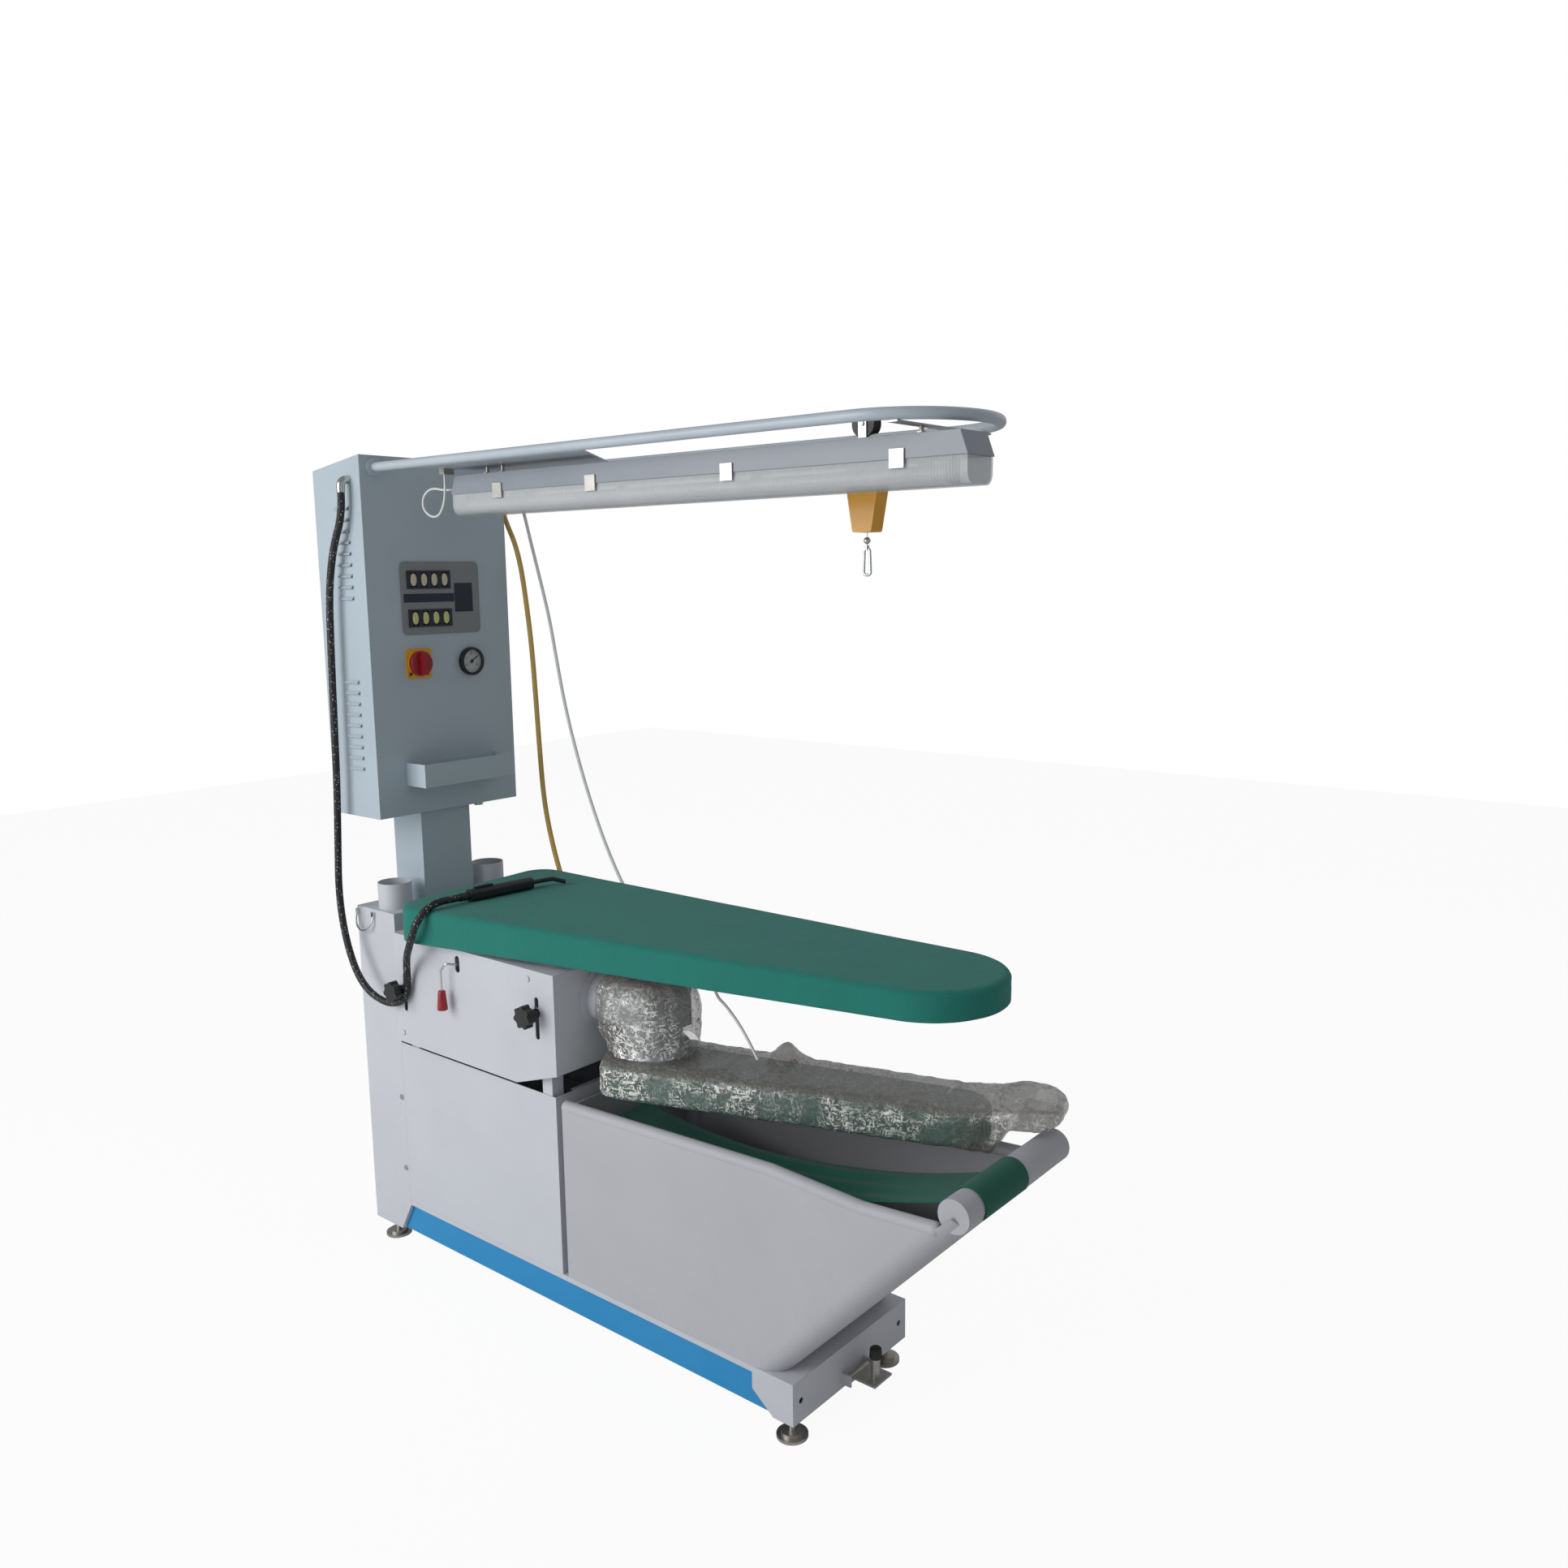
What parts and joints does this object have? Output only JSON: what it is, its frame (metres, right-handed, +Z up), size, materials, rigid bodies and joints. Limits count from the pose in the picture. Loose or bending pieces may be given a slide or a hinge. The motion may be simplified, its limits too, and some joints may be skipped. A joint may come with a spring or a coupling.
{
  "type": "vacuum ironing table",
  "caption": "Vacuum ironing table: height-adjustable board with swivel sleeve board and catch basin on a cabinet; control box, overhead rail with lamp and spring balancer, spray gun, pedal.",
  "frame": {"origin": "on the floor, below the middle of the machine box without its free hoses and cables", "axes": "+Z up, +X from the rear post towards the nose of the board, +Y away from the operator"},
  "size_m": [1.7144, 0.537, 1.8753],
  "materials": {
    "grey_powder_coat": "satin powder coat",
    "pale_blue_paint": "satin",
    "blue_paint": "satin",
    "grey_moulding": "smooth matte",
    "green_cloth": "woven",
    "clear_film": "glossy crinkled film",
    "zinc_steel": "zinc plated",
    "chrome_wire": "polished",
    "cast_aluminium": "as cast",
    "black_rubber": "matte",
    "black_plastic": "matte",
    "navy_plastic": "gloss",
    "cream_plastic": "gloss",
    "lime_plastic": "gloss",
    "yellow_plastic": "gloss",
    "red_plastic": "gloss",
    "white_plastic": "satin",
    "lamp_white": "gloss",
    "diffuser": "frosted",
    "tube_glass": "frosted",
    "brown_moulding": "matte"
  },
  "bodies": {
    "frame": {"base_frame": "grey_powder_coat", "rear_post": "grey_powder_coat", "side_panels": "grey_powder_coat", "kick_panels": "blue_paint", "cabinet_bulkhead": "grey_powder_coat", "catch_basin": "grey_moulding", "catch_cloth": "green_cloth", "levelling_feet": "zinc_steel", "support_column": "grey_powder_coat", "panel_screws": "zinc_steel", "blower_housing": "cast_aluminium", "blower_motor": "cast_aluminium", "control_box": "pale_blue_paint", "box_back_cover": "grey_powder_coat", "contactor_rail": "brown_moulding", "key_panel": "pale_blue_paint", "rocker_frames": "black_plastic", "switch_plate": "yellow_plastic", "gauge_case": "black_plastic", "tool_tray": "grey_powder_coat", "hose_fittings": "zinc_steel", "rail_hoop": "grey_powder_coat", "lamp_fittings": "zinc_steel", "lamp_body": "lamp_white", "lamp_diffuser": "diffuser", "lamp_tube": "tube_glass", "lamp_lead": "white_plastic"},
    "head": {"head_housing": "grey_powder_coat", "board_chamber": "grey_powder_coat", "board_cover": "green_cloth", "elbow_duct": "grey_powder_coat", "duct_film": "clear_film", "spray_gun": "grey_moulding", "gun_hose": "black_rubber", "yellow_hose": "yellow_plastic", "white_cable": "white_plastic"},
    "arm": {"sleeve_buck": "grey_powder_coat", "sleeve_cover": "green_cloth", "sleeve_film": "clear_film"},
    "flap": {"flap_lever": "chrome_wire"},
    "impeller": {"blower_impeller": "cast_aluminium"},
    "switch": {"switch_knob": "red_plastic"},
    "needle": {"gauge_needle": "black_plastic"},
    "pedal": {"foot_pedal": "zinc_steel"},
    "knob_rear": {"star_knob_rear": "black_plastic"},
    "knob_front": {"star_knob_front": "black_plastic"},
    "trolley": {"trolley_strap": "zinc_steel"},
    "wheel": {"trolley_wheel": "black_plastic"},
    "balancer": {"balancer_housing": "yellow_plastic", "balancer_cable": "chrome_wire"},
    "drum": {"balancer_drum": "white_plastic"},
    "hook": {"snap_hook": "chrome_wire"},
    "rocker_1": {"rocker_1": "cream_plastic"},
    "rocker_2": {"rocker_2": "cream_plastic"},
    "rocker_3": {"rocker_3": "cream_plastic"},
    "rocker_4": {"rocker_4": "cream_plastic"},
    "rocker_5": {"rocker_5": "lime_plastic"},
    "rocker_6": {"rocker_6": "lime_plastic"},
    "rocker_7": {"rocker_7": "lime_plastic"},
    "rocker_8": {"rocker_8": "lime_plastic"}
  },
  "joints": [
    {"name": "head_height", "type": "slide", "parent": "frame", "child": "head", "axis": [0, 0, 1], "range_m": [-0.004, 0.045], "deforming": ["gun_hose", "yellow_hose", "white_cable"]},
    {"name": "arm_swing", "type": "hinge", "parent": "head", "child": "arm", "pos_m": [0.052, -0.057, 0.64], "axis": [0, 0, 1], "range_deg": [-110, 60]},
    {"name": "flap_tilt", "type": "hinge", "parent": "head", "child": "flap", "pos_m": [-0.41, -0.147, 0.757], "axis": [-1, 0, 0], "range_deg": [0, 12]},
    {"name": "impeller_spin", "type": "hinge", "parent": "frame", "child": "impeller", "pos_m": [-0.41, 0.003, 0.3], "axis": [0, 0, 1], "continuous": true},
    {"name": "rocker_1_tilt", "type": "hinge", "parent": "frame", "child": "rocker_1", "pos_m": [-0.677, -0.071, 1.5785], "axis": [0, 1, 0], "range_deg": [-7, 7]},
    {"name": "rocker_2_tilt", "type": "hinge", "parent": "frame", "child": "rocker_2", "pos_m": [-0.677, -0.043, 1.5785], "axis": [0, 1, 0], "range_deg": [-7, 7]},
    {"name": "rocker_3_tilt", "type": "hinge", "parent": "frame", "child": "rocker_3", "pos_m": [-0.677, -0.015, 1.5785], "axis": [0, 1, 0], "range_deg": [-7, 7]},
    {"name": "rocker_4_tilt", "type": "hinge", "parent": "frame", "child": "rocker_4", "pos_m": [-0.677, 0.013, 1.5785], "axis": [0, 1, 0], "range_deg": [-7, 7]},
    {"name": "rocker_5_tilt", "type": "hinge", "parent": "frame", "child": "rocker_5", "pos_m": [-0.677, -0.071, 1.492], "axis": [0, 1, 0], "range_deg": [-7, 7]},
    {"name": "rocker_6_tilt", "type": "hinge", "parent": "frame", "child": "rocker_6", "pos_m": [-0.677, -0.043, 1.492], "axis": [0, 1, 0], "range_deg": [-7, 7]},
    {"name": "rocker_7_tilt", "type": "hinge", "parent": "frame", "child": "rocker_7", "pos_m": [-0.677, -0.015, 1.492], "axis": [0, 1, 0], "range_deg": [-7, 7]},
    {"name": "rocker_8_tilt", "type": "hinge", "parent": "frame", "child": "rocker_8", "pos_m": [-0.677, 0.013, 1.492], "axis": [0, 1, 0], "range_deg": [-7, 7]},
    {"name": "switch_turn", "type": "hinge", "parent": "frame", "child": "switch", "pos_m": [-0.658, -0.067, 1.39], "axis": [1, 0, 0], "range_deg": [0, 90]},
    {"name": "needle_swing", "type": "hinge", "parent": "frame", "child": "needle", "pos_m": [-0.666, 0.078, 1.387], "axis": [1, 0, 0], "range_deg": [-120, 120], "stiffness_Nm_per_rad": 0.0005},
    {"name": "pedal_press", "type": "hinge", "parent": "frame", "child": "pedal", "pos_m": [0.5085, 0.005, 0.067], "axis": [0, 1, 0], "range_deg": [0, 8], "stiffness_Nm_per_rad": 2, "springref_deg": -8.59},
    {"name": "knob_rear_turn", "type": "hinge", "parent": "frame", "child": "knob_rear", "pos_m": [-0.608, -0.209, 0.665], "axis": [0, 1, 0], "continuous": true},
    {"name": "knob_front_turn", "type": "hinge", "parent": "frame", "child": "knob_front", "pos_m": [-0.152, -0.209, 0.702], "axis": [0, 1, 0], "continuous": true},
    {"name": "trolley_travel", "type": "slide", "parent": "frame", "child": "trolley", "axis": [1, 0, 0], "range_m": [-0.4, 0.17]},
    {"name": "wheel_roll", "type": "hinge", "parent": "trolley", "child": "wheel", "pos_m": [0.421, 0.16, 1.8503], "axis": [0, 1, 0], "range_deg": [-1300, 560]},
    {"name": "balancer_swing", "type": "hinge", "parent": "trolley", "child": "balancer", "pos_m": [0.421, 0.16, 1.789], "axis": [0, 1, 0], "range_deg": [-20, 20]},
    {"name": "hook_pull", "type": "slide", "parent": "balancer", "child": "hook", "axis": [0, 0, -1], "range_m": [0, 0.5], "stiffness_N_per_m": 4, "springref_m": -0.3, "deforming": ["balancer_cable"]},
    {"name": "drum_turn", "type": "hinge", "parent": "balancer", "child": "drum", "pos_m": [0.43755, 0.16, 1.738], "axis": [0, 1, 0], "range_deg": [-1900, 10]}
  ],
  "couplings": [
    {"joint": "wheel_roll", "follows": "trolley_travel", "rad_per_m": 55.556},
    {"joint": "drum_turn", "follows": "hook_pull", "rad_per_m": -65.574}
  ]
}
